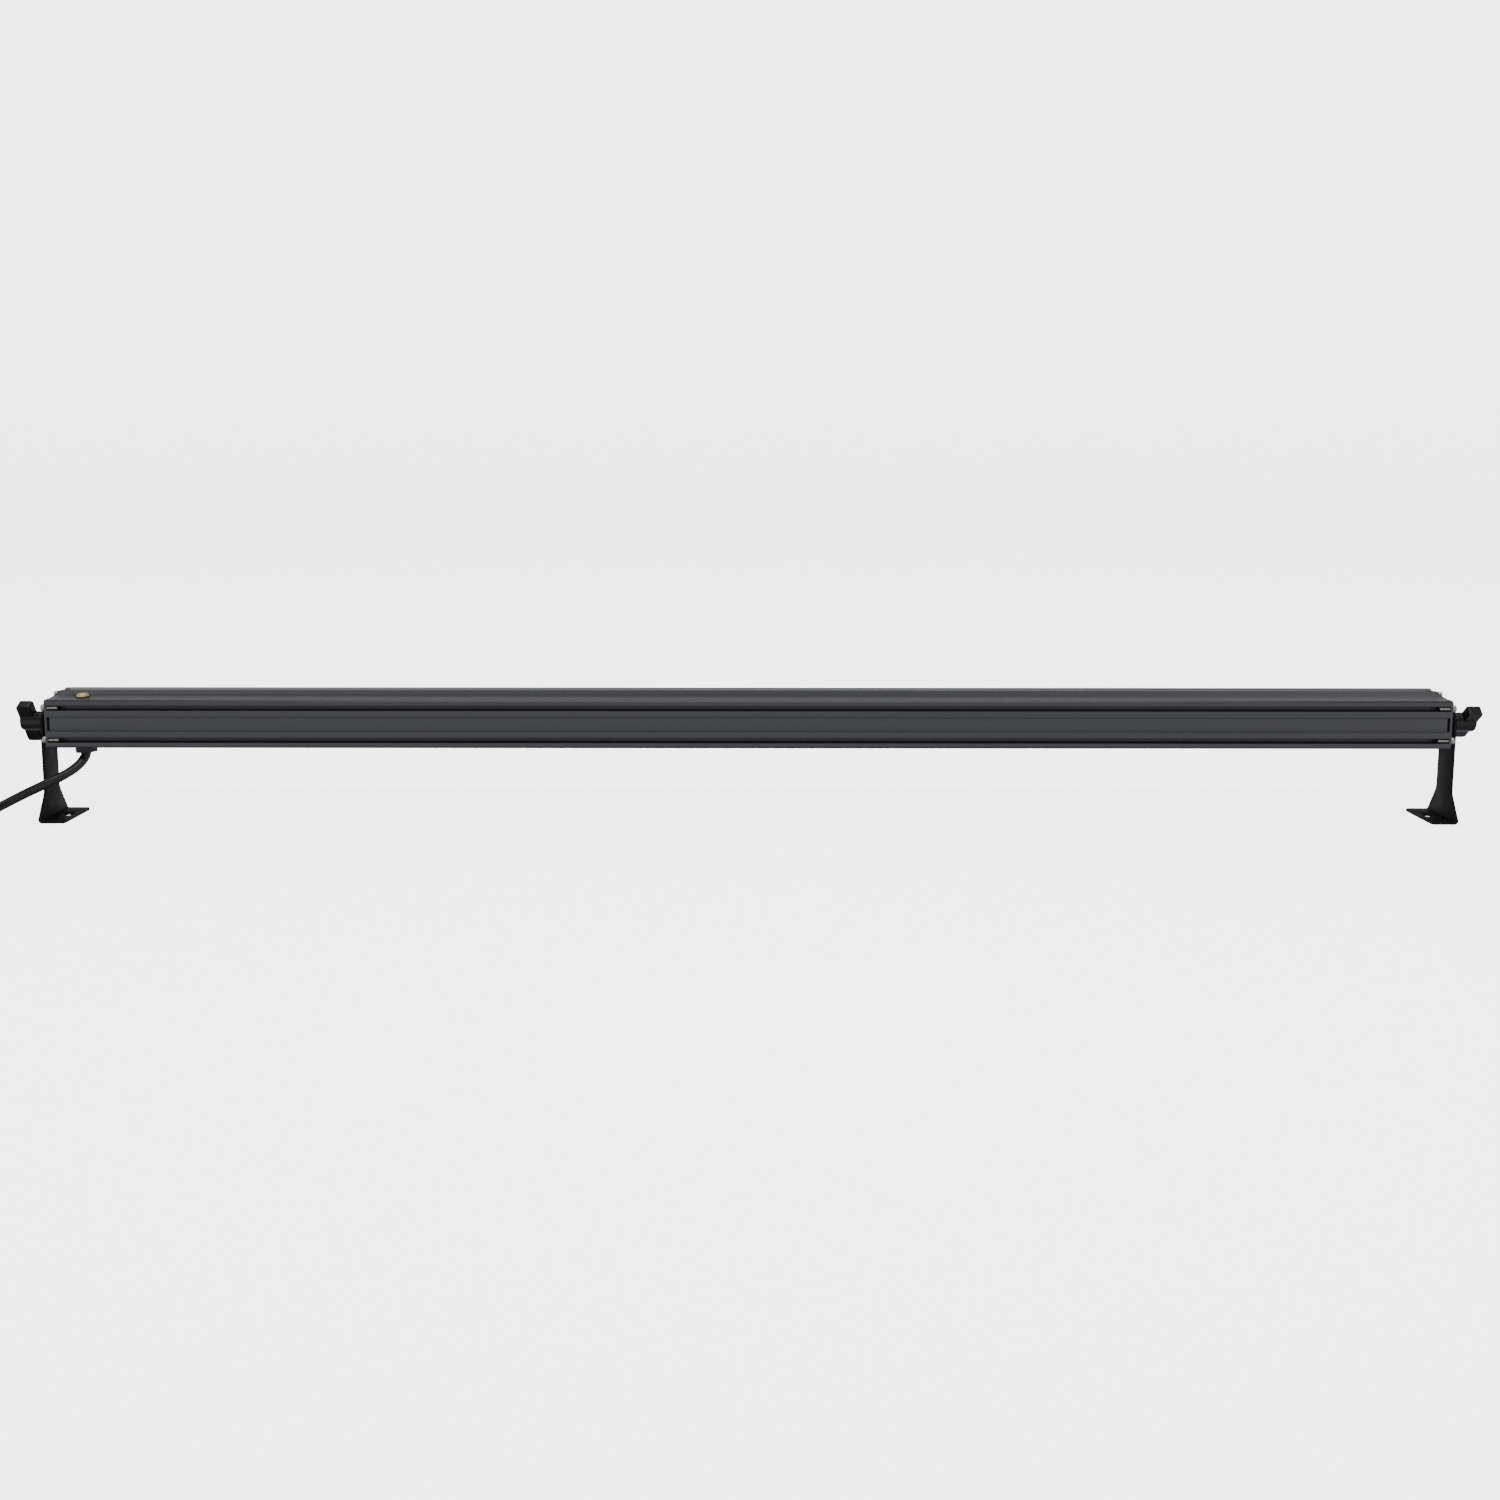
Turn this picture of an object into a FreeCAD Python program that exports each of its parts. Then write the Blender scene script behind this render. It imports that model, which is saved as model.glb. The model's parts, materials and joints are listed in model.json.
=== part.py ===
import FreeCAD, Part
import math
import os

# A single-row LED light bar for trucks and trailers, in millimetres.
# X runs along the bar, Y from its back (screw channels) to its front (lens), Z up.
# The origin is on the plane that both bracket feet stand on, midway between the two foot holes.
# The two ends are mirror images, so an end piece is made at +X and mirrored for the left end.

V = FreeCAD.Vector

# --- driving dimensions -------------------------------------------------------------------
BAR_LENGTH = 1290.0        # over the two end plates
MID_Z = 91.0               # mid-height of the section, and the height of the two pivots
BACK_Y = -17.6             # back face, from the pivot axis
FRONT_Y = 37.4             # front of the bezel
HALF_HEIGHT = 22.5         # half the height of the back face
BACK_FILLET = 2.4
FLAT_END_Y = -9.6          # where the flat top turns into the concave slope
RIDGE_Y = 15.4
RIDGE_HALF = 26.5          # the two ridges are the tallest part of the housing
RAIL_HALF = 25.7           # outside of the bezel rails
RAIL_BACK_Y = 16.8
WALL_HALF = 23.1           # housing wall under the rails
CHAMBER_HALF = 21.0        # optical chamber, open to the front
HOUSING_FRONT_Y = 30.6
WEB_BACK_Y = 9.4
WEB_FRONT_Y = 12.4
REAR_BAY_Y = (-9.6, WEB_BACK_Y)      # closed bay that holds the driver
REAR_BAY_HALF = 19.5

CHANNEL_OFFSET = 14.9      # the two screw channels, above and below mid-height
CHANNEL_MOUTH = 4.7
CHANNEL_R = 2.9
CHANNEL_DEPTH = 3.2
RECESS_HALF = 6.6
RECESS_DEPTH = 4.5

PLATE_T = 2.0
GASKET_T = 0.6
PLATE_OUT = BAR_LENGTH / 2
PLATE_IN = PLATE_OUT - PLATE_T
HOUSING_END = PLATE_IN - GASKET_T
STRIP_END = PLATE_IN - 2.4

BOSS_OUT = PLATE_OUT + 2.5
BRACKET_T = 2.4
BRACKET_OUT = 651.5
BRACKET_IN = BRACKET_OUT - BRACKET_T
LEG_HALF = 13.0
FOOT_HALF = 26.5
FOOT_END_X = 627.3
FOOT_HOLE_X = 636.0
FOOT_HOLE_R = 5.5
FLARE_TOP_Z = 26.0
FLARE_EASE = 4.0           # the flare's corner is eased over this much of each side
BEND_R = 3.5

STUD_R = 4.0
RUNNING_GAP = 0.05
BODY_GAP = 0.3
KNOB_IN = 653.3
KNOB_OUT = 672.9
KNOB_R = 8.9
WING_IN = 659.8            # the wings' inner face
WING_REACH = 20.7
WING_HALF_WIDTH = 4.5
WING_CHAMFER = 1.5
LEFT_KNOB_TURN = 30.0      # how far each knob's wings are turned from upright
RIGHT_KNOB_TURN = 48.0

CUP_PITCH = 26.0
CUPS_PER_SEGMENT = 12
SEGMENTS = 4
SEGMENT = CUP_PITCH * CUPS_PER_SEGMENT
BOARD_FRONT_Y = WEB_FRONT_Y + 1.6
REFLECTOR_Y = (BOARD_FRONT_Y + 0.15, 30.2)

SERVICE_X = -615.6         # the breather is over the gland, near the left end
VENT_Y = -2.6
GLAND_Y = -1.0
GLAND_BOTTOM_Z = 62.4
GLAND_TOP_Z = 68.9
SEAL_Z = 65.6              # the seal grips the lead above this height

CORD_D = 8.5
CORD_R = CORD_D / 2
COIL_X = -758.0
COIL_Y = -40.0
ARRIVAL = math.radians(54)     # where on the outer turn the lead meets the coil
COIL_LIFT = 0.8            # the tie's thickness under the coil
OUTER_TURN_R = 51.0
INNER_TURN_R = OUTER_TURN_R - CORD_D
TOP_TURN_R = (OUTER_TURN_R + INNER_TURN_R) / 2
LOW_TURN_Z = COIL_LIFT + CORD_R
TOP_TURN_Z = LOW_TURN_Z + CORD_D * math.sin(math.radians(60))

# The lead leaves the gland straight down, bends at once towards the back and the left,
# passes behind the left bracket's leg, and comes down on the floor beside the coil.
LEAD_ROUTE = [
    (SERVICE_X, GLAND_Y, SEAL_Z),
    (SERVICE_X, GLAND_Y, 61.6),
    (-616.4, -2.8, 57.0),
    (-619.8, -8.6, 50.8),
    (-627.0, -17.5, 44.6),
    (-640.0, -26.5, 38.4),
    (-658.0, -30.0, 30.0),
    (-681.0, -27.0, 18.5),
    (-706.2, -14.6, LOW_TURN_Z),
    (COIL_X + OUTER_TURN_R * math.cos(ARRIVAL), COIL_Y + OUTER_TURN_R * math.sin(ARRIVAL), LOW_TURN_Z),
]
# The tail leaves the top turn towards +X, steps down off the coil and ends in the connector.
PLUG_X = -712.0
PLUG_Y = -92.2
PLUG_Z = 7.5
TAIL_ROUTE = [
    (COIL_X, COIL_Y - TOP_TURN_R, TOP_TURN_Z),
    (-742.0, -88.0, 14.8),
    (-726.0, PLUG_Y, PLUG_Z),
    (PLUG_X, PLUG_Y, PLUG_Z),
]


# --- helpers ------------------------------------------------------------------------------
def box(x, y, z):
    """A box between (low, high) pairs."""
    return Part.makeBox(x[1] - x[0], y[1] - y[0], z[1] - z[0], V(x[0], y[0], z[0]))


def rod_x(x, r, y, z):
    return Part.makeCylinder(r, x[1] - x[0], V(x[0], y, z), V(1, 0, 0))


def rod_y(y, r, x, z):
    return Part.makeCylinder(r, y[1] - y[0], V(x, y[0], z), V(0, 1, 0))


def rod_z(z, r, x, y):
    return Part.makeCylinder(r, z[1] - z[0], V(x, y, z[0]), V(0, 0, 1))


def ring_z(z, inner_r, outer_r, x, y):
    return rod_z(z, outer_r, x, y).cut(rod_z(z, inner_r, x, y))


def band(low, high):
    """The z range of a band given as heights from the section's mid-height."""
    return (MID_Z + low, MID_Z + high)


def prism(points, direction):
    """The closed polygon through the points, extruded along the direction."""
    wire = Part.makePolygon(points + [points[0]])
    return Part.Face(wire).extrude(direction)


def prism_x(outline, x):
    """A polygon of (y, height from mid) points, extruded along X."""
    corners = [V(x[0], y, MID_Z + h) for y, h in outline]
    return prism(corners, V(x[1] - x[0], 0, 0))


def hex_z(across_flats, z, x, y):
    """A hexagonal prism with two flats square to Y."""
    corner_r = across_flats / math.sqrt(3)
    angles = [math.radians(60 * k) for k in range(6)]
    corners = [V(x + corner_r * math.cos(a), y + corner_r * math.sin(a), z[0]) for a in angles]
    return prism(corners, V(0, 0, z[1] - z[0]))


def fuse_all(shapes):
    return shapes[0].multiFuse(shapes[1:]).removeSplitter()


def cut_all(shape, tools):
    return shape.cut(Part.makeCompound(tools))


def at_left(shape):
    return shape.mirror(V(0, 0, 0), V(1, 0, 0))


def both_ends(shape):
    return [shape, at_left(shape)]


def flipped(shape):
    """The same piece at the underside: mirrored about mid-height."""
    return shape.mirror(V(0, 0, MID_Z), V(0, 0, 1))


def save(name, shapes):
    """Writes one node: one solid, or a group of separate solids."""
    if isinstance(shapes, list):
        shape = Part.makeCompound(shapes)
    else:
        shape = shapes
    shape.exportStep("parts/" + name + ".step")


def routed_tube(name, route, radius):
    """A round tube along straight runs joined by tangent arcs as large as the runs allow."""
    points = [V(*p) for p in route]
    runs = [b - a for a, b in zip(points, points[1:])]
    edges = []
    start = points[0]
    for k in range(1, len(points) - 1):
        before, after = runs[k - 1], runs[k]
        half_turn = before.getAngle(after) / 2
        trim = 0.45 * min(before.Length, after.Length)
        arc_r = trim / math.tan(half_turn)
        u, w = V(before).normalize(), V(after).normalize()
        inward = (w - u).normalize()
        arc_start, arc_end = points[k] - u * trim, points[k] + w * trim
        arc_mid = points[k] + inward * (arc_r / math.cos(half_turn) - arc_r)
        edges.append(Part.LineSegment(start, arc_start).toShape())
        edges.append(Part.Arc(arc_start, arc_mid, arc_end).toShape())
        start = arc_end
        print("%s: arc %d radius %.1f, %.1f diameters" % (name, k, arc_r, arc_r / radius / 2))
    edges.append(Part.LineSegment(start, points[-1]).toShape())
    path = Part.Wire(edges)
    circle = Part.Wire(Part.makeCircle(radius, points[0], runs[0]))
    tube = path.makePipeShell([circle], True, False)
    expected = math.pi * radius * radius * path.Length
    print("%s: path %.1f, volume %.1f, section x length %.1f" % (name, path.Length, tube.Volume, expected))
    return tube


# --- the section --------------------------------------------------------------------------
def point(y, height):
    return V(0, y, MID_Z + height)


def slope_point(fraction):
    """A point on the concave slope, from its flat start (0) to the ridge (1)."""
    rise = RIDGE_HALF - HALF_HEIGHT
    run = RIDGE_Y - FLAT_END_Y
    radius = (run * run + rise * rise) / (2 * rise)
    angle = math.asin(run / radius) * fraction
    return FLAT_END_Y + radius * math.sin(angle), HALF_HEIGHT + radius - radius * math.cos(angle)


def back_edges(side):
    """Edges of one half, from the middle of the back face to the foot of the ridge."""
    r = BACK_FILLET
    diagonal = r * (1 - math.sqrt(0.5))
    mid_y, mid_h = slope_point(0.5)
    a = point(BACK_Y, 0)
    b = point(BACK_Y, side * (HALF_HEIGHT - r))
    b_mid = point(BACK_Y + diagonal, side * (HALF_HEIGHT - diagonal))
    c = point(BACK_Y + r, side * HALF_HEIGHT)
    d = point(FLAT_END_Y, side * HALF_HEIGHT)
    e = point(RIDGE_Y, side * RIDGE_HALF)
    f = point(RAIL_BACK_Y, side * RAIL_HALF)
    return [
        Part.LineSegment(a, b).toShape(),
        Part.Arc(b, b_mid, c).toShape(),
        Part.LineSegment(c, d).toShape(),
        Part.Arc(d, point(mid_y, side * mid_h), e).toShape(),
        Part.LineSegment(e, f).toShape(),
    ]


def chain(corners):
    return [Part.LineSegment(a, b).toShape() for a, b in zip(corners, corners[1:])]


def section_face(front_half):
    """A face of the whole section. front_half gives the corners of one half's front."""
    edges = []
    for side in (1, -1):
        edges += back_edges(side)
        corners = [(RAIL_BACK_Y, RAIL_HALF)] + front_half
        edges += chain([point(y, side * h) for y, h in corners])
    return Part.Face(Part.Wire(Part.__sortEdges__(edges)))


def extrude_section(front_half, x):
    face = section_face(front_half)
    face.translate(V(x[0], 0, 0))
    return face.extrude(V(x[1] - x[0], 0, 0))


# --- housing ------------------------------------------------------------------------------
CHAMBER_FRONT = [
    (RAIL_BACK_Y, WALL_HALF),
    (HOUSING_FRONT_Y, WALL_HALF),
    (HOUSING_FRONT_Y, CHAMBER_HALF),
    (WEB_FRONT_Y, CHAMBER_HALF),
    (WEB_FRONT_Y, 0),
]
GASKET_FRONT = [(RAIL_BACK_Y, WALL_HALF), (HOUSING_FRONT_Y, WALL_HALF), (HOUSING_FRONT_Y, 0)]
PLATE_FRONT = [(FRONT_Y - 1.2, RAIL_HALF), (FRONT_Y, RAIL_HALF - 1.2), (FRONT_Y, 0)]

CHANNEL_SCREW_Y = BACK_Y + CHANNEL_DEPTH
FRONT_PORT = (12.5, 23.3)      # (y, height) of the front end-plate screws
BEZEL_SCREW = (640.9, 21.4)    # (x, y) of the screws down through the rail ends
FEED_HOLE_X = -626.0
REFLECTOR_SCREW_HALF = 15.0


def reflector_screw_xs(segment):
    """Two screw positions along one reflector, midway between cups near its ends."""
    centre = segment_centre(segment)
    reach = SEGMENT / 2 - CUP_PITCH
    return [centre - reach, centre + reach]


def segment_centre(segment):
    return (segment - (SEGMENTS - 1) / 2) * SEGMENT


def screw_places():
    """(x, z) of every reflector screw."""
    places = []
    for segment in range(SEGMENTS):
        for x in reflector_screw_xs(segment):
            for side in (1, -1):
                places.append((x, MID_Z + side * REFLECTOR_SCREW_HALF))
    return places


def channel_tool(side, x):
    z = MID_Z + side * CHANNEL_OFFSET
    mouth = box(x, (BACK_Y - 1, CHANNEL_SCREW_Y), (z - CHANNEL_MOUTH / 2, z + CHANNEL_MOUTH / 2))
    return [mouth, rod_x(x, CHANNEL_R, CHANNEL_SCREW_Y, z)]


def make_housing():
    x = (-HOUSING_END, HOUSING_END)
    longer = (-HOUSING_END - 1, HOUSING_END + 1)
    body = extrude_section(CHAMBER_FRONT, x)
    tools = [
        box(longer, REAR_BAY_Y, band(-REAR_BAY_HALF, REAR_BAY_HALF)),
        box(longer, (BACK_Y - 1, BACK_Y + RECESS_DEPTH), band(-RECESS_HALF, RECESS_HALF)),
    ]
    for side in (1, -1):
        tools += channel_tool(side, longer)
        port = rod_x((HOUSING_END - 16, HOUSING_END + 1), 1.5, FRONT_PORT[0], MID_Z + side * FRONT_PORT[1])
        tools += both_ends(port)
    tools += both_ends(rod_z(band(-24, 24), 1.6, *BEZEL_SCREW))
    for screw_x, screw_z in screw_places():
        tools.append(rod_y((WEB_BACK_Y - 1, WEB_FRONT_Y + 1), 1.25, screw_x, screw_z))
    tools.append(rod_y((WEB_BACK_Y - 1, WEB_FRONT_Y + 1), 1.7, FEED_HOLE_X, MID_Z))
    # spot faces and holes for the breather and the gland
    tools.append(rod_z((VENT_SEAT_Z, VENT_SEAT_Z + 5), 6.8, SERVICE_X, VENT_Y))
    tools.append(rod_z((MID_Z + 10, VENT_SEAT_Z + 1), 4.1, SERVICE_X, VENT_Y))
    tools.append(rod_z((GLAND_TOP_Z - 6, GLAND_TOP_Z), 11.2, SERVICE_X, GLAND_Y))
    tools.append(rod_z((GLAND_TOP_Z - 1, MID_Z - 10), 6.1, SERVICE_X, GLAND_Y))
    return cut_all(body, tools)


def make_back_strip():
    """The trim strip that lies in the recess along the back."""
    depth = (BACK_Y + 0.35, BACK_Y + RECESS_DEPTH)
    return box((-STRIP_END, STRIP_END), depth, band(-RECESS_HALF + 0.2, RECESS_HALF - 0.2))


# --- bezel, lens and gaskets --------------------------------------------------------------
LIP_BACK_Y = 35.0
LIP_HALF = 17.5
RAIL_END = PLATE_IN - 0.1
LENS_END = 641.5


def make_top_rail():
    outline = [
        (RAIL_BACK_Y + 0.1, RAIL_HALF),
        (FRONT_Y - 1.0, RAIL_HALF),
        (FRONT_Y, RAIL_HALF - 1.0),
        (FRONT_Y, LIP_HALF),
        (LIP_BACK_Y, LIP_HALF),
        (LIP_BACK_Y, WALL_HALF + 0.1),
        (RAIL_BACK_Y + 0.1, WALL_HALF + 0.1),
    ]
    rail = prism_x(outline, (-RAIL_END, RAIL_END))
    return cut_all(rail, both_ends(rod_z(band(20, 30), 1.6, *BEZEL_SCREW)))


def make_bezel_screws():
    shank = rod_z(band(13, RAIL_HALF), 1.45, *BEZEL_SCREW)
    head = rod_z(band(RAIL_HALF, RAIL_HALF + 2.0), 2.3, *BEZEL_SCREW)
    socket = hex_z(2.0, band(RAIL_HALF + 0.8, RAIL_HALF + 3), *BEZEL_SCREW)
    screw = shank.fuse(head).cut(socket)
    return both_ends(screw) + both_ends(flipped(screw))


def make_lens():
    return box((-LENS_END, LENS_END), (31.8, 34.8), band(-22.8, 22.8))


def make_lens_gasket():
    depth = (30.65, 31.75)
    outer = box((-LENS_END, LENS_END), depth, band(-22.8, 22.8))
    inner = box((-LENS_END + 3.5, LENS_END - 3.5), (30, 32.5), band(-21.2, 21.2))
    return outer.cut(inner)


# --- optics -------------------------------------------------------------------------------
def cup_tool(x):
    """The space inside one reflector cup: a curved bowl that opens to the front."""
    back_y, front_y = REFLECTOR_Y
    back_r, front_r = 4.0, 12.2
    mid_y = back_y + 0.36 * (front_y - back_y)
    mid_r = back_r + 0.64 * (front_r - back_r)
    corners = [V(0, back_y - 0.5, 0), V(back_r, back_y - 0.5, 0), V(back_r, back_y, 0)]
    front = [V(front_r, front_y, 0), V(front_r, front_y + 0.5, 0), V(0, front_y + 0.5, 0)]
    wall = Part.Arc(corners[-1], V(mid_r, mid_y, 0), front[0]).toShape()
    edges = chain(corners) + [wall] + chain(front) + chain([front[-1], corners[0]])
    bowl = Part.Face(Part.Wire(edges)).revolve(V(0, 0, 0), V(0, 1, 0), 360)
    bowl.translate(V(x, 0, MID_Z))
    return bowl


def cup_xs(segment):
    first = segment_centre(segment) - SEGMENT / 2 + CUP_PITCH / 2
    return [first + CUP_PITCH * k for k in range(CUPS_PER_SEGMENT)]


def segment_places(segment):
    xs = reflector_screw_xs(segment)
    return [(x, z) for x, z in screw_places() if x in xs]


def make_reflector(segment):
    centre = segment_centre(segment)
    x = (centre - SEGMENT / 2 + 0.1, centre + SEGMENT / 2 - 0.1)
    block = box(x, REFLECTOR_Y, band(-20.4, 20.4))
    tools = [cup_tool(cup_x) for cup_x in cup_xs(segment)]
    for screw_x, screw_z in segment_places(segment):
        tools.append(rod_y((10, 31), 1.4, screw_x, screw_z))
        tools.append(rod_y((REFLECTOR_Y[0] + 3, 31), 2.8, screw_x, screw_z))
    return cut_all(block, tools)


def make_led_board(segment):
    centre = segment_centre(segment)
    low = centre - SEGMENT / 2 + 0.2
    high = centre + SEGMENT / 2 - 0.2
    if segment == 0:
        low -= 7.5           # the end boards carry the feed pads
    if segment == SEGMENTS - 1:
        high += 7.5
    board = box((low, high), (WEB_FRONT_Y, BOARD_FRONT_Y), band(-18, 18))
    holes = [rod_y((10, 16), 1.4, x, z) for x, z in segment_places(segment)]
    if segment == 0:
        holes.append(rod_y((10, 16), 1.7, FEED_HOLE_X, MID_Z))
    return cut_all(board, holes)


def make_emitters(segment):
    """One emitter behind each cup: a square package with a small dome."""
    package_top = BOARD_FRONT_Y + 1.2
    emitters = []
    for x in cup_xs(segment):
        package = box((x - 2.5, x + 2.5), (BOARD_FRONT_Y, package_top), band(-2.5, 2.5))
        dome = Part.makeSphere(2.0, V(x, package_top, MID_Z))
        emitters.append(package.fuse(dome.common(box((x - 3, x + 3), (package_top, 20), band(-3, 3)))))
    return emitters


def make_reflector_screws():
    seat_y = REFLECTOR_Y[0] + 3
    screws = []
    for x, z in screw_places():
        shank = rod_y((WEB_BACK_Y + 0.4, seat_y), 1.2, x, z)
        head = rod_y((seat_y, seat_y + 1.8), 2.4, x, z)
        recess = rod_y((seat_y + 0.8, seat_y + 3), 1.0, x, z)
        screws.append(shank.fuse(head).cut(recess))
    return screws


# --- driver -------------------------------------------------------------------------------
DRIVER_X = (-595.0, -485.0)
DRIVER_Y = (7.7, 9.3)


def make_driver_board():
    return box(DRIVER_X, DRIVER_Y, band(-17, 17))


def make_terminal_block():
    block = box((-594, -584), (-2, DRIVER_Y[0]), band(-8, 8))
    holes = [rod_x((-595, -588), 1.6, 2.5, MID_Z + h) for h in (-4, 4)]
    return cut_all(block, holes)


def make_inductors():
    coils = []
    for x in (-566.0, -528.0):
        outer = rod_y((-1.5, DRIVER_Y[0]), 7.5, x, MID_Z - 7.5)
        coils.append(outer.cut(rod_y((-3, DRIVER_Y[0] - 1.5), 2.5, x, MID_Z - 7.5)))
    return coils


def make_capacitors():
    places = [(-574.0, 9.5), (-560.0, 9.5), (-504.0, -9.5), (-504.0, 9.5)]
    return [rod_y((-5.0, DRIVER_Y[0]), 5.0, x, MID_Z + h) for x, h in places]


def make_driver_chips():
    places = [(-545.0, 8.0, 6.0), (-530.0, 9.0, 4.0), (-488.5, 0.0, 3.0)]
    chips = []
    for x, height, half in places:
        chips.append(box((x - half, x + half), (5.4, DRIVER_Y[0]), band(height - half, height + half)))
    return chips


def make_supply_wires():
    """Two insulated wires from the lead's sheath to the terminal block."""
    wires = []
    for offset, height in ((1.6, -4.0), (-1.6, 4.0)):
        route = [
            (SERVICE_X + offset, GLAND_Y, 79.0),
            (SERVICE_X + offset, GLAND_Y, MID_Z + height - 2.0),
            (SERVICE_X + offset + 6.0, 2.5, MID_Z + height),
            (-589.0, 2.5, MID_Z + height),
        ]
        wires.append(routed_tube("supply_wire", route, 1.1))
    return wires


def make_feed_wires():
    """Two wires from the driver through the web to the first LED board."""
    wires = []
    for height in (-0.75, 0.75):
        route = [
            (-595.2, 8.4, MID_Z + height),
            (-606.0, 4.0, MID_Z + height),
            (FEED_HOLE_X, 4.6, MID_Z + height),
            (FEED_HOLE_X, BOARD_FRONT_Y + 0.9, MID_Z + height),
        ]
        wires.append(routed_tube("feed_wire", route, 0.6))
    return wires


# --- end plates ---------------------------------------------------------------------------
HEAD_OUT = 648.8
INSERT_R = 6.5
INSERT_IN = 630.2


def channel_screw_places():
    return [(CHANNEL_SCREW_Y, MID_Z + side * CHANNEL_OFFSET) for side in (1, -1)]


def port_screw_places():
    return [(FRONT_PORT[0], MID_Z + side * FRONT_PORT[1]) for side in (1, -1)]


def make_end_plate():
    plate = extrude_section(PLATE_FRONT, (PLATE_IN, PLATE_OUT))
    boss = rod_x((PLATE_IN, BOSS_OUT), 11.0, 0, MID_Z)
    inner_boss = rod_x((628.0, PLATE_IN), 9.0, 0, MID_Z)
    lug = box((636.5, PLATE_IN), (17, 26), band(12, 20.7))
    solid = fuse_all([plate, boss, inner_boss, lug, flipped(lug)])
    tools = [rod_x((INSERT_IN - 0.1, BOSS_OUT + 1), INSERT_R, 0, MID_Z)]
    tools += [rod_x((640, 650), 2.3, y, z) for y, z in channel_screw_places()]
    tools += [rod_x((640, 650), 1.9, y, z) for y, z in port_screw_places()]
    tools.append(rod_z(band(-21, 21), 1.5, *BEZEL_SCREW))
    return cut_all(solid, tools)


def make_end_gasket():
    gasket = extrude_section(GASKET_FRONT, (HOUSING_END, PLATE_IN))
    x = (HOUSING_END - 1, PLATE_IN + 1)
    tools = [
        box(x, REAR_BAY_Y, band(-REAR_BAY_HALF, REAR_BAY_HALF)),
        box(x, (WEB_FRONT_Y, HOUSING_FRONT_Y + 1), band(-CHAMBER_HALF, CHAMBER_HALF)),
        box(x, (BACK_Y - 1, BACK_Y + RECESS_DEPTH), band(-RECESS_HALF, RECESS_HALF)),
        rod_z(band(-24, 24), 1.7, *BEZEL_SCREW),
    ]
    for side in (1, -1):
        tools += channel_tool(side, x)
    tools += [rod_x(x, 1.9, y, z) for y, z in port_screw_places()]
    return cut_all(gasket, tools)


def end_screw(y, z, shank_r, head_r, tip_x):
    """A self-tapping pan-head screw with a cross recess, pointing into the bar."""
    shank = rod_x((tip_x, PLATE_OUT), shank_r, y, z)
    head = rod_x((PLATE_OUT, HEAD_OUT), head_r, y, z)
    rim = [edge for edge in head.Edges if abs(edge.CenterOfMass.x - HEAD_OUT) < 0.01 and len(edge.Vertexes) == 1]
    head = head.makeFillet(1.4, rim)
    screw = shank.fuse(head)
    half, wide = 0.45, 0.5 * head_r
    deep = (HEAD_OUT - 1.6, HEAD_OUT + 1)
    upright = box(deep, (y - half, y + half), (z - wide, z + wide))
    level = box(deep, (y - wide, y + wide), (z - half, z + half))
    return screw.cut(upright.fuse(level))


def make_end_screws():
    screws = [end_screw(y, z, 2.1, 3.4, 633.5) for y, z in channel_screw_places()]
    screws += [end_screw(y, z, 1.4, 3.0, 631.0) for y, z in port_screw_places()]
    return screws


def make_pivot_insert():
    bush = rod_x((INSERT_IN, BOSS_OUT), INSERT_R - RUNNING_GAP, 0, MID_Z)
    return bush.cut(rod_x((INSERT_IN - 1, BOSS_OUT + 1), STUD_R + RUNNING_GAP, 0, MID_Z))


def make_rubber_washer():
    x = (BOSS_OUT, BRACKET_IN - BODY_GAP)
    return rod_x(x, 10.0, 0, MID_Z).cut(rod_x(x, STUD_R + 0.4, 0, MID_Z))


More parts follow.
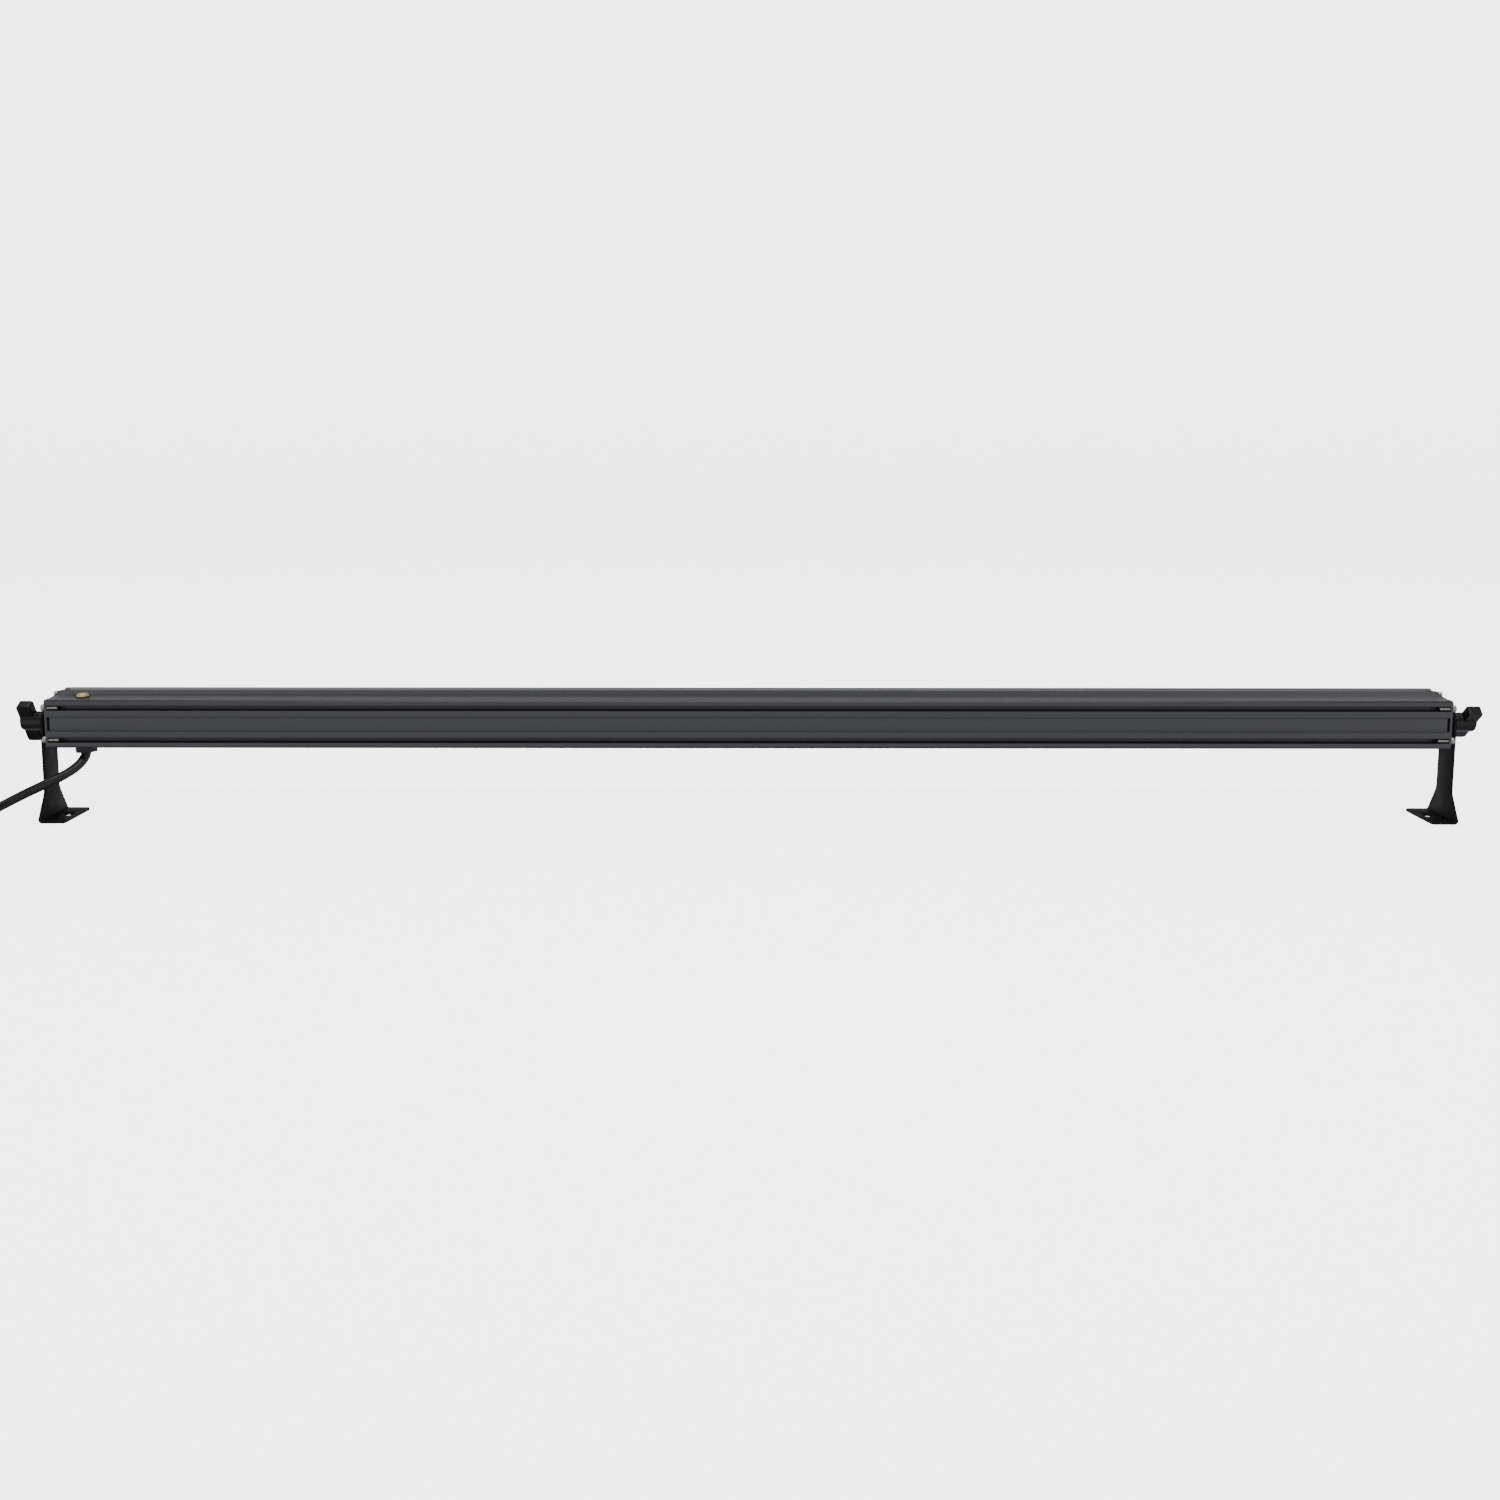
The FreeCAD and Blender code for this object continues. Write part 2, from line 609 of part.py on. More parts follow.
# --- brackets and knobs -------------------------------------------------------------------
def make_bracket():
    """A bent steel L: a leg with a round top and a wider foot turned in under the bar."""
    x = BRACKET_IN
    flare_angle = math.atan2(FOOT_HALF - LEG_HALF, FLARE_TOP_Z - BEND_R)
    ease_r = FLARE_EASE / math.tan(flare_angle / 2)
    edges = []
    for side in (1, -1):
        top = V(x, side * LEG_HALF, MID_Z)
        waist = V(x, side * LEG_HALF, FLARE_TOP_Z + FLARE_EASE)
        middle = V(
            x, side * (LEG_HALF + ease_r * (1 - math.cos(flare_angle / 2))),
            waist.z - ease_r * math.sin(flare_angle / 2))
        flare = V(
            x, side * (LEG_HALF + FLARE_EASE * math.sin(flare_angle)),
            FLARE_TOP_Z - FLARE_EASE * math.cos(flare_angle))
        edges.append(Part.LineSegment(top, waist).toShape())
        edges.append(Part.Arc(waist, middle, flare).toShape())
        edges += chain([flare, V(x, side * FOOT_HALF, BEND_R), V(x, 0, BEND_R)])
    crown = V(x, 0, MID_Z + LEG_HALF)
    edges.append(Part.Arc(V(x, LEG_HALF, MID_Z), crown, V(x, -LEG_HALF, MID_Z)).toShape())
    leg = Part.Face(Part.Wire(Part.__sortEdges__(edges))).extrude(V(BRACKET_T, 0, 0))

    bend_x = BRACKET_OUT - BEND_R
    reach = (-FOOT_HALF, FOOT_HALF)
    bend = rod_y(reach, BEND_R, bend_x, BEND_R).cut(rod_y(reach, BEND_R - BRACKET_T, bend_x, BEND_R))
    bend = bend.common(box((bend_x, BRACKET_OUT + 1), reach, (-1, BEND_R)))
    foot = box((FOOT_END_X, bend_x), reach, (0, BRACKET_T))
    corner_edges = []
    for edge in foot.Edges:
        centre = edge.CenterOfMass
        if abs(centre.x - FOOT_END_X) < 0.01 and abs(centre.z - BRACKET_T / 2) < 0.01:
            corner_edges.append(edge)
    foot = foot.makeFillet(3.5, corner_edges)
    solid = fuse_all([leg, bend, foot])
    stud_hole = rod_x((x - 1, BRACKET_OUT + 1), STUD_R + 0.4, 0, MID_Z)
    foot_hole = rod_z((-1, BRACKET_T + 1), FOOT_HOLE_R, FOOT_HOLE_X, 0)
    return cut_all(solid, [stud_hole, foot_hole])


WASHER_X = (BRACKET_OUT + BODY_GAP, BRACKET_OUT + BODY_GAP + 1.2)
STUD_IN = 632.0
KNOB_BORE_END = 662.0


def make_steel_washer():
    return rod_x(WASHER_X, 9.0, 0, MID_Z).cut(rod_x(WASHER_X, STUD_R + 0.4, 0, MID_Z))


def make_stud():
    return rod_x((STUD_IN, KNOB_BORE_END - 0.2), STUD_R, 0, MID_Z)


def make_knob():
    """A round hub with two straight wings, flush with the hub's end."""
    hub = rod_x((KNOB_IN, KNOB_OUT), KNOB_R, 0, MID_Z)
    rim = [edge for edge in hub.Edges if abs(edge.CenterOfMass.x - KNOB_OUT) < 0.01]
    hub = hub.makeFillet(1.8, rim[:1])
    outline = [
        (WING_IN, -1.0),
        (WING_IN, WING_REACH - WING_CHAMFER),
        (WING_IN + WING_CHAMFER, WING_REACH),
        (KNOB_OUT - WING_CHAMFER, WING_REACH),
        (KNOB_OUT, WING_REACH - WING_CHAMFER),
        (KNOB_OUT, -1.0),
    ]
    corners = [V(wx, -WING_HALF_WIDTH, MID_Z + reach) for wx, reach in outline]
    wing = prism(corners, V(0, 2 * WING_HALF_WIDTH, 0))
    other = wing.copy()
    other.rotate(V(0, 0, MID_Z), V(1, 0, 0), 180)
    bore = rod_x((KNOB_IN - 1, KNOB_BORE_END), STUD_R + RUNNING_GAP, 0, MID_Z)
    return fuse_all([hub, wing, other]).cut(bore)


def turned(shape, degrees):
    """Turned about the pivot axis, so that the upper wing leans towards the back."""
    shape.rotate(V(0, 0, MID_Z), V(1, 0, 0), degrees)
    return shape


# --- breather and gland -------------------------------------------------------------------
VENT_SEAT_Z = MID_Z + HALF_HEIGHT - 0.2
VENT_RING_TOP = VENT_SEAT_Z + 0.6
VENT_HEX_TOP = VENT_RING_TOP + 1.8


def make_vent_ring():
    return ring_z((VENT_SEAT_Z, VENT_RING_TOP), 4.2, 5.4, SERVICE_X, VENT_Y)


def make_vent_body():
    flange = hex_z(10.4, (VENT_RING_TOP, VENT_HEX_TOP), SERVICE_X, VENT_Y)
    neck = rod_z((VENT_SEAT_Z - 6, VENT_RING_TOP), 4.0, SERVICE_X, VENT_Y)
    air_way = rod_z((VENT_SEAT_Z - 7, VENT_HEX_TOP + 1), 1.8, SERVICE_X, VENT_Y)
    return fuse_all([flange, neck]).cut(air_way)


def make_vent_cap():
    cap = rod_z((VENT_HEX_TOP, VENT_HEX_TOP + 1.5), 4.5, SERVICE_X, VENT_Y)
    rim = [edge for edge in cap.Edges if abs(edge.CenterOfMass.z - VENT_HEX_TOP - 1.5) < 0.01]
    return cap.makeFillet(0.6, rim[:1])


def make_vent_nut():
    wall_z = MID_Z + REAR_BAY_HALF
    return ring_z((wall_z - 2.6, wall_z), 4.05, 6.4, SERVICE_X, VENT_Y)


def make_gland_body():
    flange = hex_z(18.0, (GLAND_BOTTOM_Z, GLAND_TOP_Z), SERVICE_X, GLAND_Y)
    neck = rod_z((GLAND_TOP_Z, 77.0), 6.0, SERVICE_X, GLAND_Y)
    bore = rod_z((GLAND_BOTTOM_Z - 1, 78.0), 5.4, SERVICE_X, GLAND_Y)
    return fuse_all([flange, neck]).cut(bore)


def make_gland_seal():
    return ring_z((SEAL_Z, 76.5), CORD_R + 0.02, 5.38, SERVICE_X, GLAND_Y)


def make_gland_nut():
    wall_z = MID_Z - REAR_BAY_HALF
    return ring_z((wall_z, wall_z + 3.2), 6.05, 8.4, SERVICE_X, GLAND_Y)


def make_inner_sheath():
    return rod_z((SEAL_Z, 79.0), CORD_R, SERVICE_X, GLAND_Y)


# --- lead, coil and connector -------------------------------------------------------------
def coil_ring(z, inner_r, outer_r):
    return ring_z(z, inner_r, outer_r, COIL_X, COIL_Y)


def make_coil():
    """Two flat turns side by side, and half a turn on top of them at the far side."""
    low = coil_ring((COIL_LIFT, COIL_LIFT + CORD_D), INNER_TURN_R - CORD_R, OUTER_TURN_R + CORD_R)
    top = coil_ring((TOP_TURN_Z - 3.5, TOP_TURN_Z + CORD_R), TOP_TURN_R - CORD_R, TOP_TURN_R + CORD_R)
    reach = OUTER_TURN_R + 10
    far_half = box((COIL_X - reach, COIL_X), (COIL_Y - reach, COIL_Y + reach), (0, 30))
    return fuse_all([low, top.common(far_half)])


def make_coil_tie():
    """A hook-and-loop strap around the bundle, at the far side of the coil."""
    inner_x = COIL_X - INNER_TURN_R + CORD_R
    outer_x = COIL_X - OUTER_TURN_R - CORD_R
    top_in = COIL_X - TOP_TURN_R + CORD_R
    top_out = COIL_X - TOP_TURN_R - CORD_R
    shoulder_z = COIL_LIFT + CORD_D
    top_z = TOP_TURN_Z + CORD_R

    def loop(grow, floor_z, wide):
        outline = [
            (inner_x + grow, floor_z),
            (inner_x + grow, shoulder_z + grow / 2),
            (top_in + grow, top_z + grow),
            (top_out - grow, top_z + grow),
            (outer_x - grow, shoulder_z + grow / 2),
            (outer_x - grow, floor_z),
        ]
        corners = [V(px, COIL_Y - wide, pz) for px, pz in outline]
        return prism(corners, V(0, 2 * wide, 0))

    return loop(1.05, 0.05, 4.0).cut(loop(0.35, COIL_LIFT - 0.02, 5.0))


BOOT_X = (PLUG_X, PLUG_X + 14.0)
SHELL_X = (BOOT_X[1], BOOT_X[1] + 22.0)
NOSE_X = (SHELL_X[1], SHELL_X[1] + 12.0)
CONTACT_OFFSET = 2.7


def make_connector_boot():
    """The moulded boot that the lead ends in."""
    return Part.makeCone(CORD_R + 1.0, 6.4, BOOT_X[1] - BOOT_X[0], V(BOOT_X[0], PLUG_Y, PLUG_Z), V(1, 0, 0))


def make_connector_shell():
    shell = box(SHELL_X, (PLUG_Y - 8, PLUG_Y + 8), (0.4, PLUG_Z * 2 - 0.4))
    long_edges = [edge for edge in shell.Edges if abs(edge.Vertexes[0].X - edge.Vertexes[1].X) > 1]
    shell = shell.makeFillet(2.2, long_edges)
    nose = box(NOSE_X, (PLUG_Y - 6.2, PLUG_Y + 6.2), (PLUG_Z - 4.2, PLUG_Z + 4.2))
    solid = fuse_all([shell, nose])
    holes = []
    for side in (1, -1):
        holes.append(rod_x((NOSE_X[0] - 4, NOSE_X[1] + 1), 1.4, PLUG_Y + side * CONTACT_OFFSET, PLUG_Z))
    return cut_all(solid, holes)


def make_connector_seal():
    x = (NOSE_X[0], NOSE_X[0] + 3.0)
    outer = box(x, (PLUG_Y - 7.0, PLUG_Y + 7.0), (PLUG_Z - 5.0, PLUG_Z + 5.0))
    inner = box(x, (PLUG_Y - 6.22, PLUG_Y + 6.22), (PLUG_Z - 4.22, PLUG_Z + 4.22))
    return outer.cut(inner)


def make_connector_contacts():
    contacts = []
    for side in (1, -1):
        y = PLUG_Y + side * CONTACT_OFFSET
        sleeve = rod_x((NOSE_X[0] - 3.5, NOSE_X[1] - 1.0), 1.35, y, PLUG_Z)
        contacts.append(sleeve.cut(rod_x((NOSE_X[0] - 1, NOSE_X[1]), 0.8, y, PLUG_Z)))
    return contacts


def make_connector_latch():
    arm_z = (PLUG_Z * 2 - 0.4, PLUG_Z * 2 + 1.2)
    arm = box((SHELL_X[0] + 3, NOSE_X[0] + 6), (PLUG_Y - 2.5, PLUG_Y + 2.5), arm_z)
    hook = box((NOSE_X[0] + 4, NOSE_X[0] + 6), (PLUG_Y - 2.5, PLUG_Y + 2.5), (arm_z[0] - 1.4, arm_z[1]))
    return fuse_all([arm, hook])


# --- all nodes ----------------------------------------------------------------------------
def save_bar():
    save("housing", make_housing())
    save("back_strip", make_back_strip())
    top_rail = make_top_rail()
    save("top_bezel_rail", top_rail)
    save("bottom_bezel_rail", flipped(top_rail))
    save("bezel_screws", make_bezel_screws())
    save("lens", make_lens())
    save("lens_gasket", make_lens_gasket())
    for segment in range(SEGMENTS):
        save("reflector_%d" % (segment + 1), make_reflector(segment))
        save("led_board_%d" % (segment + 1), make_led_board(segment))
        save("led_emitters_%d" % (segment + 1), make_emitters(segment))
    save("reflector_screws", make_reflector_screws())


def save_driver():
    save("driver_board", make_driver_board())
    save("driver_terminal_block", make_terminal_block())
    save("driver_inductors", make_inductors())
    save("driver_capacitors", make_capacitors())
    save("driver_chips", make_driver_chips())
    save("supply_wires", make_supply_wires())
    save("feed_wires", make_feed_wires())


def save_ends():
    save("end_gaskets", both_ends(make_end_gasket()))
    save("pivot_inserts", both_ends(make_pivot_insert()))
    save("rubber_washers", both_ends(make_rubber_washer()))
    end_pieces = {
        "end_plate": make_end_plate(),
        "end_screws": make_end_screws(),
        "bracket": make_bracket(),
        "clamp_washer": make_steel_washer(),
        "knob_stud": make_stud(),
    }
    for name, shape in end_pieces.items():
        save("right_" + name, shape)
        if isinstance(shape, list):
            save("left_" + name, [at_left(piece) for piece in shape])
        else:
            save("left_" + name, at_left(shape))
    save("right_knob", turned(make_knob(), RIGHT_KNOB_TURN))
    save("left_knob", turned(at_left(make_knob()), LEFT_KNOB_TURN))


def save_vent_and_gland():
    save("vent_ring", make_vent_ring())
    save("vent_body", make_vent_body())
    save("vent_cap", make_vent_cap())
    save("vent_nut", make_vent_nut())
    save("gland_body", make_gland_body())
    save("gland_seal", make_gland_seal())
    save("gland_nut", make_gland_nut())
    save("inner_sheath", make_inner_sheath())


def save_lead():
    save("cord_lead", routed_tube("cord_lead", LEAD_ROUTE, CORD_R))
    save("cord_coil", make_coil())
    save("cord_tail", routed_tube("cord_tail", TAIL_ROUTE, CORD_R))
    save("coil_tie", make_coil_tie())
    save("connector_boot", make_connector_boot())
    save("connector_shell", make_connector_shell())
    save("connector_seal", make_connector_seal())
    save("connector_contacts", make_connector_contacts())
    save("connector_latch", make_connector_latch())


os.makedirs("parts", exist_ok=True)
save_bar()
save_driver()
save_ends()
save_vent_and_gland()
save_lead()
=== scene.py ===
import json
import math

import bmesh
import bpy
from mathutils import Matrix, Vector

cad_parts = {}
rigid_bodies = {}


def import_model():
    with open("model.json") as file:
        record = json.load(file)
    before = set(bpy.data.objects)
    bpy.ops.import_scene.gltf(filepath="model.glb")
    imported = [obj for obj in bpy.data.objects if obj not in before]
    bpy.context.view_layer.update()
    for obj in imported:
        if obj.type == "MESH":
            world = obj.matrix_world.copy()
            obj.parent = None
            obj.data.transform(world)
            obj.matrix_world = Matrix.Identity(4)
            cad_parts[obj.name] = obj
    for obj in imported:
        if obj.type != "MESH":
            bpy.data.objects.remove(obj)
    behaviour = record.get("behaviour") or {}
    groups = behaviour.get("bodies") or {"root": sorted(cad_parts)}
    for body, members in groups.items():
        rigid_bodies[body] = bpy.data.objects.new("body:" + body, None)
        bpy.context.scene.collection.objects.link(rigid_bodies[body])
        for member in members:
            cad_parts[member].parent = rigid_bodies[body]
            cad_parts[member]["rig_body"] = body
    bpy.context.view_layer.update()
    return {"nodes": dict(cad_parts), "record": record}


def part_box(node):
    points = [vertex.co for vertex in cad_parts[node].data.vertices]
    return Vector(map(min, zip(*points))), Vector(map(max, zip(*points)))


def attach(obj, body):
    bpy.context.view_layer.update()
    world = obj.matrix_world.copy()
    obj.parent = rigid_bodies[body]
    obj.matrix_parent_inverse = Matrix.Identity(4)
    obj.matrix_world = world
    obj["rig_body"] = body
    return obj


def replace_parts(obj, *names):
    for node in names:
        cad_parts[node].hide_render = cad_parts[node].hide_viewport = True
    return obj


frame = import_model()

# The visual model of a single-row LED light bar, in metres, in the CAD model's own frame:
# X along the bar, Y from its back to its lens, Z up, with the feet on Z = 0.

MM = 0.001
NODES = frame["nodes"]
SIDES = {"left": -1, "right": 1}

# --- places read from the frame -----------------------------------------------------------
housing_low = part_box("housing")[0]
plate_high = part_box("right_end_plate")[1]
gland_low, gland_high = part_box("gland_body")
vent_low, vent_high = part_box("vent_cap")
stud_low, stud_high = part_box("right_knob_stud")
PIVOT_Z = (stud_low.z + stud_high.z) / 2
CHANNEL_OFFSET = 14.9 * MM       # the two screw channels, above and below the pivot's height
CHANNEL_DEPTH = 3.2 * MM
CHANNEL_Y = housing_low.y + CHANNEL_DEPTH
GLAND = Vector(((gland_low.x + gland_high.x) / 2, (gland_low.y + gland_high.y) / 2, gland_low.z))
VENT = Vector(((vent_low.x + vent_high.x) / 2, (vent_low.y + vent_high.y) / 2, vent_high.z))


# --- helpers ------------------------------------------------------------------------------
def link(name, mesh):
    obj = bpy.data.objects.new(name, mesh)
    bpy.context.scene.collection.objects.link(obj)
    return obj


def mesh_from(name, verts, faces):
    mesh = bpy.data.meshes.new(name)
    mesh.from_pydata([tuple(v) for v in verts], [], faces)
    mesh.validate()
    return link(name, mesh)


def shade_smooth(obj, angle=35.0):
    """Smooth shading, with edges sharper than the angle kept crisp."""
    mesh = obj.data
    mesh.shade_smooth()
    mesh.set_sharp_from_angle(angle=math.radians(angle))
    return obj


def apply_modifiers(obj):
    """Replaces the object's mesh by its evaluated mesh, so that no modifier is left on it."""
    depsgraph = bpy.context.evaluated_depsgraph_get()
    mesh = bpy.data.meshes.new_from_object(obj.evaluated_get(depsgraph))
    old = obj.data
    obj.modifiers.clear()
    obj.data = mesh
    bpy.data.meshes.remove(old)
    return obj


def cleaned(mesh):
    """Welds a CAD mesh's split edges and joins its flat triangles into larger faces."""
    bm = bmesh.new()
    bm.from_mesh(mesh)
    bmesh.ops.remove_doubles(bm, verts=bm.verts, dist=2e-6)
    bmesh.ops.dissolve_limit(
        bm, angle_limit=math.radians(1.0), verts=bm.verts, edges=bm.edges,
        delimit={"NORMAL"})
    bm.to_mesh(mesh)
    bm.free()


def eased(node, width, segments=2, angle=30.0):
    """A copy of a CAD node with its sharp edges eased, which stands for the node."""
    source = NODES[node]
    mesh = source.data.copy()
    mesh.name = node + "_eased"
    if mesh.has_custom_normals:
        mesh.attributes.remove(mesh.attributes["custom_normal"])
    cleaned(mesh)
    obj = link(node + "_eased", mesh)
    bevel = obj.modifiers.new("edges", "BEVEL")
    bevel.width = width
    bevel.segments = segments
    bevel.limit_method = "ANGLE"
    bevel.angle_limit = math.radians(angle)
    bevel.harden_normals = False
    bevel.use_clamp_overlap = True
    apply_modifiers(obj)
    shade_smooth(obj, 40.0)
    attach(obj, source["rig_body"])
    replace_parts(obj, node)
    return obj


def finish_piece(obj, body, slot):
    """Gives an added piece its slot's finish and the body that carries it."""
    obj.data.materials.clear()
    obj.data.materials.append(MATERIALS[slot])
    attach(obj, body)
    return obj


def lathe(name, profile, steps, matrix, closed=False):
    """Turns a profile of (height, radius) points about +Z, then places it by the matrix."""
    verts, faces = [], []
    for h, r in profile:
        for k in range(steps):
            a = 2 * math.pi * k / steps
            verts.append(matrix @ Vector((r * math.cos(a), r * math.sin(a), h)))
    rings = len(profile)
    spans = rings if closed else rings - 1
    for i in range(spans):
        lower, upper = i * steps, (i + 1) % rings * steps
        for k in range(steps):
            n = (k + 1) % steps
            faces.append((lower + k, lower + n, upper + n, upper + k))
    if not closed:
        faces.append(tuple(range(steps))[::-1])
        faces.append(tuple((rings - 1) * steps + k for k in range(steps)))
    return mesh_from(name, verts, faces)


def outward_x(side, x, y, z):
    """Places a piece made along +Z so that it points outward along X at one end of the bar."""
    turn = Matrix.Rotation(math.radians(90 * side), 4, "Y")
    return Matrix.Translation((side * x, y, z)) @ turn


# --- materials ----------------------------------------------------------------------------
class Surface:
    """A Principled material whose colour, roughness and bump come from object-space noise."""

    def __init__(self, name, colour, rough, metallic=0.0, **sockets):
        self.mat = bpy.data.materials.new(name)
        self.mat.use_nodes = True
        self.mat.diffuse_color = (*colour, 1)
        self.tree = self.mat.node_tree
        self.shader = self.tree.nodes["Principled BSDF"]
        self.colour, self.rough = colour, rough
        self.shader.inputs["Metallic"].default_value = metallic
        for key, value in sockets.items():
            self.shader.inputs[key.replace("_", " ")].default_value = value
        self.place = self.node("ShaderNodeTexCoord").outputs["Object"]
        self.height = None

    def node(self, kind, **values):
        made = self.tree.nodes.new(kind)
        for key, value in values.items():
            setattr(made, key, value)
        return made

    def wire(self, a, b):
        self.tree.links.new(a, b)

    def noise(self, scale, detail=3.0, stretch=(1, 1, 1), rough=0.55):
        spread = self.node("ShaderNodeMapping")
        spread.inputs["Scale"].default_value = stretch
        self.wire(self.place, spread.inputs["Vector"])
        tex = self.node("ShaderNodeTexNoise")
        tex.inputs["Scale"].default_value = scale
        tex.inputs["Detail"].default_value = detail
        tex.inputs["Roughness"].default_value = rough
        self.wire(spread.outputs["Vector"], tex.inputs["Vector"])
        return tex.outputs["Fac"]

    def ranged(self, value, low, high, start=0.3, end=0.7):
        span = self.node("ShaderNodeMapRange")
        for key, number in (("From Min", start), ("From Max", end), ("To Min", low), ("To Max", high)):
            span.inputs[key].default_value = number
        self.wire(value, span.inputs["Value"])
        return span.outputs["Result"]

    def blended(self, factor, a, b):
        mix = self.node("ShaderNodeMix", data_type="RGBA")
        self.wire(factor, mix.inputs["Factor"])
        for key, colour in ((6, a), (7, b)):
            if isinstance(colour, tuple):
                mix.inputs[key].default_value = (*colour, 1)
            else:
                self.wire(colour, mix.inputs[key])
        return mix.outputs[2]

    def tones(self, factor, spread):
        dark = tuple(c * (1 - spread) for c in self.colour)
        light = tuple(min(1.0, c * (1 + spread)) for c in self.colour)
        return self.blended(factor, dark, light)

    def add_height(self, value, amount):
        scaled = self.node("ShaderNodeMath", operation="MULTIPLY")
        scaled.inputs[1].default_value = amount
        self.wire(value, scaled.inputs[0])
        if self.height is None:
            self.height = scaled.outputs[0]
            return
        both = self.node("ShaderNodeMath", operation="ADD")
        self.wire(self.height, both.inputs[0])
        self.wire(scaled.outputs[0], both.inputs[1])
        self.height = both.outputs[0]

    def done(self, colour, rough, bump_distance=0.0):
        self.wire(colour, self.shader.inputs["Base Color"])
        self.wire(rough, self.shader.inputs["Roughness"])
        if self.height is not None:
            bump = self.node("ShaderNodeBump")
            bump.inputs["Strength"].default_value = 1.0
            bump.inputs["Distance"].default_value = bump_distance
            self.wire(self.height, bump.inputs["Height"])
            self.wire(bump.outputs["Normal"], self.shader.inputs["Normal"])
        return self.mat


def grained(name, colour, rough, grain, spread=0.12, rough_spread=0.06, bump=6e-6, patch=35.0,
            stretch=(1, 1, 1), metallic=0.0, **sockets):
    """Fine grain over broad, faint patches."""
    s = Surface(name, colour, rough, metallic, **sockets)
    fine = s.noise(grain, 3.0, stretch)
    broad = s.noise(patch, 2.0, stretch)
    tone = s.tones(broad, spread)
    speck = s.ranged(fine, 0.0, 1.0)
    tinted = s.blended(speck, tone, tuple(c * (1 + spread) for c in colour))
    s.add_height(fine, 1.0)
    return s.done(tinted, s.ranged(broad, rough - rough_spread, rough + rough_spread), bump)


def powder_coat(name, colour, rough):
    """Fine-texture powder coat: packed small bumps with a satin sheen."""
    s = Surface(name, colour, rough, Specular_IOR_Level=0.12)
    cells = s.node("ShaderNodeTexVoronoi", feature="SMOOTH_F1")
    cells.inputs["Scale"].default_value = 1500.0
    s.wire(s.place, cells.inputs["Vector"])
    s.add_height(cells.outputs["Distance"], 0.7)
    s.add_height(s.noise(700.0, 3.0), 0.6)
    broad = s.noise(45.0, 3.0)
    return s.done(s.tones(broad, 0.15), s.ranged(broad, rough - 0.07, rough + 0.07), 4.5e-5)


def woven(name, colour):
    """A narrow strap: crossed ribs of thread with a little fuzz."""
    s = Surface(name, colour, 0.85, Sheen_Weight=0.05, Specular_IOR_Level=0.15)
    for direction in ("Y", "Z"):
        wave = s.node("ShaderNodeTexWave", wave_type="BANDS", bands_direction=direction)
        wave.inputs["Scale"].default_value = 320.0
        wave.inputs["Distortion"].default_value = 1.2
        s.wire(s.place, wave.inputs["Vector"])
        s.add_height(wave.outputs["Fac"], 0.5)
    fuzz = s.noise(1800.0, 3.0)
    s.add_height(fuzz, 0.4)
    return s.done(s.tones(fuzz, 0.35), s.ranged(fuzz, 0.80, 0.95), 6e-5)


def lens_plastic(name):
    """Clear hard-coated polycarbonate."""
    s = Surface(name, (0.97, 0.985, 0.99), 0.03, Transmission_Weight=1.0, IOR=1.5, Coat_Weight=0.3)
    smear = s.noise(9.0, 3.0, (1, 2, 2))
    s.add_height(s.noise(60.0, 2.0), 1.0)
    return s.done(s.tones(smear, 0.015), s.ranged(smear, 0.015, 0.05), 4e-6)


def emitter_finish(name, package_front):
    """A white ceramic package below its front face, and a yellow phosphor dome above it."""
    s = Surface(name, (0.86, 0.70, 0.16), 0.22, Coat_Weight=0.6)
    split = s.node("ShaderNodeSeparateXYZ")
    s.wire(s.place, split.inputs[0])
    is_dome = s.ranged(split.outputs["Y"], 0.0, 1.0, package_front - 1e-5, package_front + 1e-5)
    speck = s.noise(2500.0, 2.0)
    phosphor = s.tones(speck, 0.12)
    s.add_height(speck, 1.0)
    return s.done(s.blended(is_dome, (0.80, 0.80, 0.77), phosphor), s.ranged(speck, 0.15, 0.30), 3e-6)


